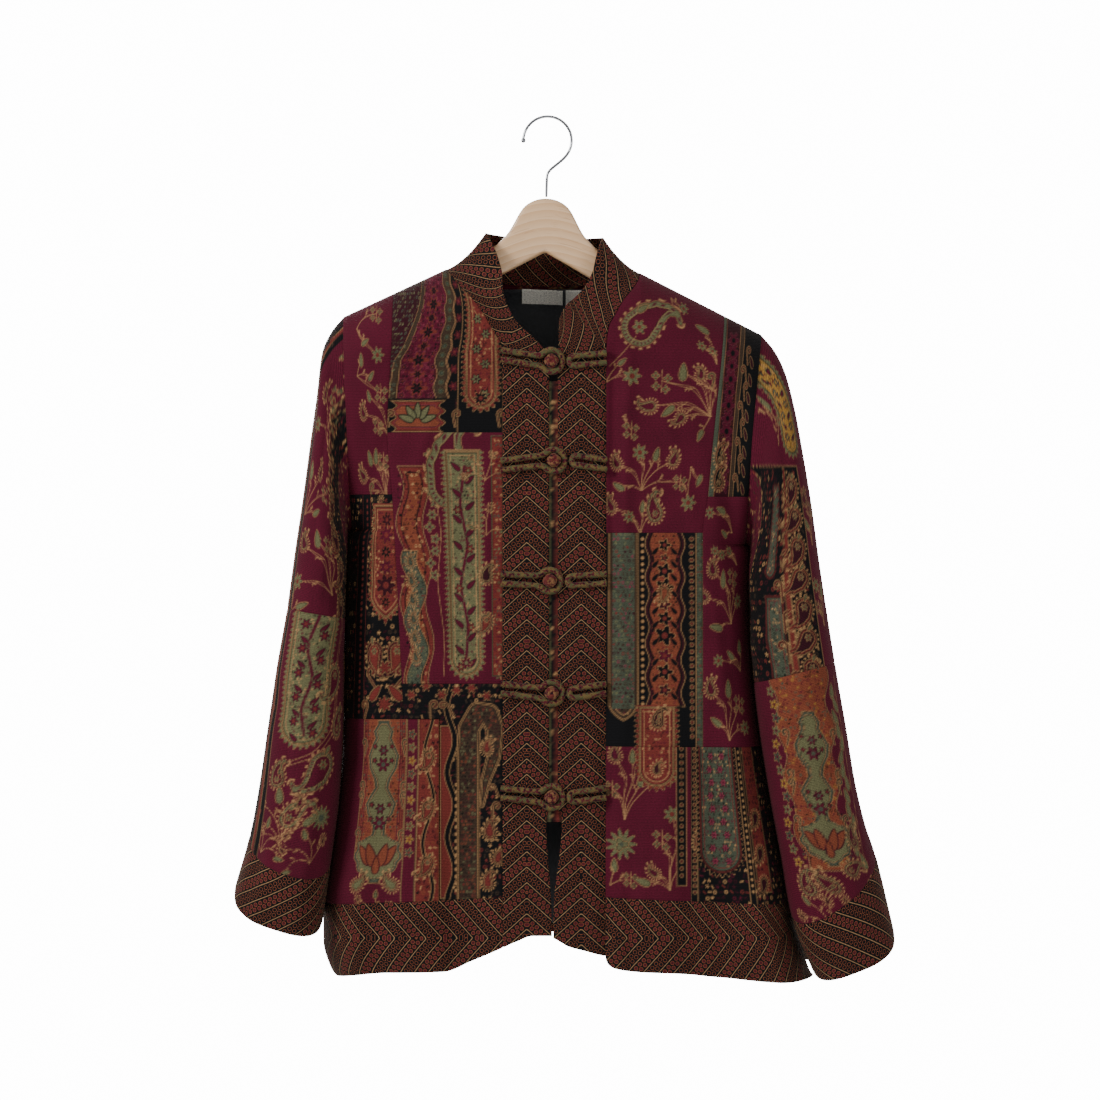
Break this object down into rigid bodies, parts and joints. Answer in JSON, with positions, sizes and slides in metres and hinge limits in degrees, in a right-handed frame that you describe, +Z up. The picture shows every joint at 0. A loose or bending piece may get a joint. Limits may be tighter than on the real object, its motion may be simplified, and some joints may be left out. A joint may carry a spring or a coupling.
{
  "type": "mandarin collar jacket on a hanger",
  "caption": "Long-sleeved jacket of pieced patterned jacquard with a standing collar, frog buttons, side vents and trim bands, hanging on a wooden hanger.",
  "frame": {"origin": "underside of the hook's top, where the hanger bears on its rail", "axes": "+Z up, the front of the jacket faces -Y, +X to the viewer's right"},
  "size_m": [0.6604, 0.146, 0.8671],
  "materials": {
    "burgundy_jacquard": "woven jacquard, burgundy ground",
    "dark_jacquard": "woven jacquard, near black ground",
    "olive_jacquard": "woven jacquard, olive and burgundy",
    "rust_jacquard": "woven jacquard, rust ground",
    "trim_jacquard": "woven jacquard, chevron stripes on black",
    "frog_cloth": "olive and burgundy cloth tube",
    "lining_satin": "navy black satin",
    "label_tape": "pale woven tape",
    "beech": "clear satin lacquer",
    "chrome": "polished"
  },
  "bodies": {
    "root": {"back": "burgundy_jacquard", "back_hem_band": "trim_jacquard", "back_lining": "lining_satin", "band_l": "trim_jacquard", "band_r": "trim_jacquard", "collar": "trim_jacquard", "cuff_l": "trim_jacquard", "cuff_r": "trim_jacquard", "frog_1_arm": "frog_cloth", "frog_1_knot": "frog_cloth", "frog_1_loop": "frog_cloth", "frog_2_arm": "frog_cloth", "frog_2_knot": "frog_cloth", "frog_2_loop": "frog_cloth", "frog_3_arm": "frog_cloth", "frog_3_knot": "frog_cloth", "frog_3_loop": "frog_cloth", "frog_4_arm": "frog_cloth", "frog_4_knot": "frog_cloth", "frog_4_loop": "frog_cloth", "frog_5_arm": "frog_cloth", "frog_5_knot": "frog_cloth", "frog_5_loop": "frog_cloth", "front_l_column_panel": "rust_jacquard", "front_l_paisley_panel": "olive_jacquard", "front_l_scroll_panel": "dark_jacquard", "front_l_shoulder_panel": "burgundy_jacquard", "front_l_spear_panel": "dark_jacquard", "front_l_vase_panel": "rust_jacquard", "front_r_chest_panel": "burgundy_jacquard", "front_r_column_panel": "dark_jacquard", "front_r_floral_panel": "burgundy_jacquard", "front_r_side_panel": "burgundy_jacquard", "front_r_spear_panel": "rust_jacquard", "front_r_tongue_panel": "dark_jacquard", "hanger_wood": "beech", "hem_band_l": "trim_jacquard", "hem_band_r": "trim_jacquard", "hook": "chrome", "neck_label": "label_tape", "size_label": "label_tape", "sleeve_l_lower_back": "dark_jacquard", "sleeve_l_lower_front": "olive_jacquard", "sleeve_l_upper_back": "dark_jacquard", "sleeve_l_upper_front": "burgundy_jacquard", "sleeve_r_lower_back": "dark_jacquard", "sleeve_r_lower_front": "olive_jacquard", "sleeve_r_upper_back": "dark_jacquard", "sleeve_r_upper_front": "burgundy_jacquard", "underlap": "rust_jacquard"}
  },
  "joints": []
}
